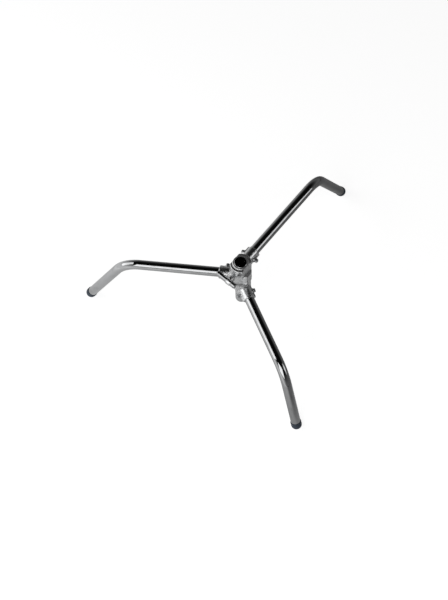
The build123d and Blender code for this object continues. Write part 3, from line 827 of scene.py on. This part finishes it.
def knuckleFaces(point):
    onAxis = point.dot(clampAxis)
    fromScrew = Vector((point.x, 0, point.z - clampHeight))
    alongBar = fromScrew.dot(barAlong)
    offBar = math.hypot(onAxis - barReach, (fromScrew - barAlong * alongBar).length)
    inScrewHole = fromScrew.length < 6.5 * mm and onAxis < clampShape["threadEnd"]
    return offBar < 7.6 * mm or inScrewHole or abs(alongBar) > clampShape["knuckleHalf"] - 0.6 * mm


castPiece("handleKnuckle", "handle_hub", "clamp_handle", "handle_chrome", castPlated, knuckleFaces, None,
          clampShape["knuckleVoxel"])


# CAD pieces whose shape is right keep it and get their finish

keptFinishes = {
    "spindle_tube": spindleChrome, "handle_bar": shadedHandleChrome, "handle_pin": fastenerZinc,
    "stop_pins": springSteel, "spring_washer": springSteel, "retaining_ring": springSteel,
    "upper_thrust_washer": washerSteel, "lower_thrust_washer": washerSteel, "bottom_washer": washerSteel,
    "stop_screw": fastenerZinc, "collar_screw": fastenerZinc,
    "middle_drag_screw": fastenerZinc, "lower_drag_screw": fastenerZinc,
    "middle_drag_plug": nylonPlug, "lower_drag_plug": nylonPlug, "stop_plug": nylonPlug,
    "clamp_pad": padBrass,
}
for node, finish in keptFinishes.items():
    kept = nodes[node]
    for held in kept.material_slots:
        held.link = "OBJECT"
        held.material = finish
print("stand base: small pieces finished")


# floor, studio and camera

studio = {
    "floorSize": 7.0, "floorLevel": 0.5, "whiteGlow": 0.85, "bounceGlow": 0.22, "bounceSlope": 0.58,
    "brightAzimuth": 226, "skyDark": 0.15, "skyBright": 0.9, "skyFadeLow": 0.05, "skyFadeHigh": 0.8,
}
softboxes = {
    "frontBox": {"azimuth": 287, "elevation": 42, "distance": 2.0, "width": 1.5, "height": 1.4, "power": 11},
    "leftBox": {"azimuth": 209, "elevation": 34, "distance": 2.0, "width": 1.4, "height": 1.35, "power": 8.5},
    "rightBox": {"azimuth": 31, "elevation": 28, "distance": 2.0, "width": 0.8, "height": 0.95, "power": 2.6},
}


def towardsBright(tree, vector):
    # how far a point or direction lies towards the studio's bright side
    apart = addNode(tree, "ShaderNodeSeparateXYZ", {0: vector}).outputs
    turn = math.radians(studio["brightAzimuth"])
    across = calc(tree, "MULTIPLY", apart[1], math.sin(turn))
    return calc(tree, "MULTIPLY_ADD", apart[0], math.cos(turn), across)


def makeFloor():
    half = studio["floorSize"] / 2
    mesh = bpy.data.meshes.new("studioFloor")
    corners = [(-half, -half, 0), (half, -half, 0), (half, half, 0), (-half, half, 0)]
    mesh.from_pydata(corners, [], [(0, 1, 2, 3)])
    floor = bpy.data.objects.new("studioFloor", mesh)
    bpy.context.scene.collection.objects.link(floor)
    finish, tree, shader = newFinish("floorPaper", Roughness=0.75, Emission_Color=(1, 1, 1, 1))
    level = studio["floorLevel"]
    spot = objectCoords(tree)
    color = blendColor(tree, grain(tree, spot, 3.0, 3.0), gray(level), gray(level * 0.985))
    tree.links.new(color, shader.inputs["Base Color"])
    # the paper is lit to plain white, and bounces more of its light on the bright side
    brightShare = towardsBright(tree, spot)
    bounce = calc(tree, "MULTIPLY_ADD", brightShare, studio["bounceSlope"], studio["bounceGlow"])
    bounce = calc(tree, "MINIMUM", calc(tree, "MAXIMUM", bounce, 0.0), 0.75)
    seen = addNode(tree, "ShaderNodeLightPath").outputs["Is Camera Ray"]
    glow = addNode(tree, "ShaderNodeMix", {0: seen, 2: bounce, 3: studio["whiteGlow"]}, data_type="FLOAT")
    tree.links.new(glow.outputs[0], shader.inputs["Emission Strength"])
    mesh.materials.append(finish)


def makeSky():
    world = bpy.data.worlds.new("studioSky")
    bpy.context.scene.world = world
    world.use_nodes = True
    tree = world.node_tree
    direction = addNode(tree, "ShaderNodeTexCoord").outputs["Generated"]
    up = addNode(tree, "ShaderNodeSeparateXYZ", {0: direction}).outputs[2]
    around = spread(tree, towardsBright(tree, direction), -0.1, 0.95, studio["skyDark"], studio["skyBright"])
    fade = spread(tree, up, studio["skyFadeLow"], studio["skyFadeHigh"], 1.0, 0.0)
    level = calc(tree, "MULTIPLY", around, fade)
    sky = tree.nodes["Background"]
    sky.inputs["Color"].default_value = (1, 1, 1, 1)
    tree.links.new(calc(tree, "ADD", level, 0.004), sky.inputs["Strength"])


def makeSoftbox(name, box):
    light = bpy.data.lights.new(name, "AREA")
    light.shape = "RECTANGLE"
    light.size = box["width"]
    light.size_y = box["height"]
    light.energy = box["power"]
    lamp = bpy.data.objects.new(name, light)
    bpy.context.scene.collection.objects.link(lamp)
    turn, lift = math.radians(box["azimuth"]), math.radians(box["elevation"])
    away = Vector((math.cos(turn) * math.cos(lift), math.sin(turn) * math.cos(lift), math.sin(lift)))
    lamp.location = Vector((0, 0, 0.15)) + away * box["distance"]
    lamp.rotation_mode = "QUATERNION"
    lamp.rotation_quaternion = away.to_track_quat("Z", "Y")
    lamp.visible_camera = False


cameraSet = {
    "azimuth": 38.48, "elevation": 61.86, "distance": 2.5, "rollDeg": -3.48, "lens": 57.68,
    "aimHeight": 0.15, "aimRight": -0.0457, "aimUp": -0.0384,
}


def makeCamera():
    c = cameraSet
    turn, lift = math.radians(c["azimuth"]), math.radians(c["elevation"])
    away = Vector((math.sin(turn) * math.cos(lift), -math.cos(turn) * math.cos(lift), math.sin(lift)))
    level = Vector((math.cos(turn), math.sin(turn), 0))
    centre = Vector((0, 0, c["aimHeight"]))
    eye = centre + away * c["distance"]
    aim = centre + level * c["aimRight"] + away.cross(level) * c["aimUp"]
    back = (eye - aim).normalized()
    right = Vector((0, 0, 1)).cross(back).normalized()
    up = back.cross(right)
    roll = math.radians(c["rollDeg"])
    rightNow = right * math.cos(roll) + up * math.sin(roll)
    upNow = up * math.cos(roll) - right * math.sin(roll)
    camera = bpy.data.cameras.new("studioCamera")
    camera.lens = c["lens"]
    camera.sensor_width = 36
    camera.clip_start = 0.05
    camera.clip_end = 50
    shown = bpy.data.objects.new("studioCamera", camera)
    bpy.context.scene.collection.objects.link(shown)
    facing = Matrix((rightNow, upNow, back)).transposed()
    shown.matrix_world = Matrix.Translation(eye) @ facing.to_4x4()
    bpy.context.scene.camera = shown


makeFloor()
makeSky()
for boxName, box in softboxes.items():
    makeSoftbox(boxName, box)
makeCamera()
bpy.context.scene.view_settings.view_transform = "Standard"
print("stand base: studio lit")

bpy.context.view_layer.update()
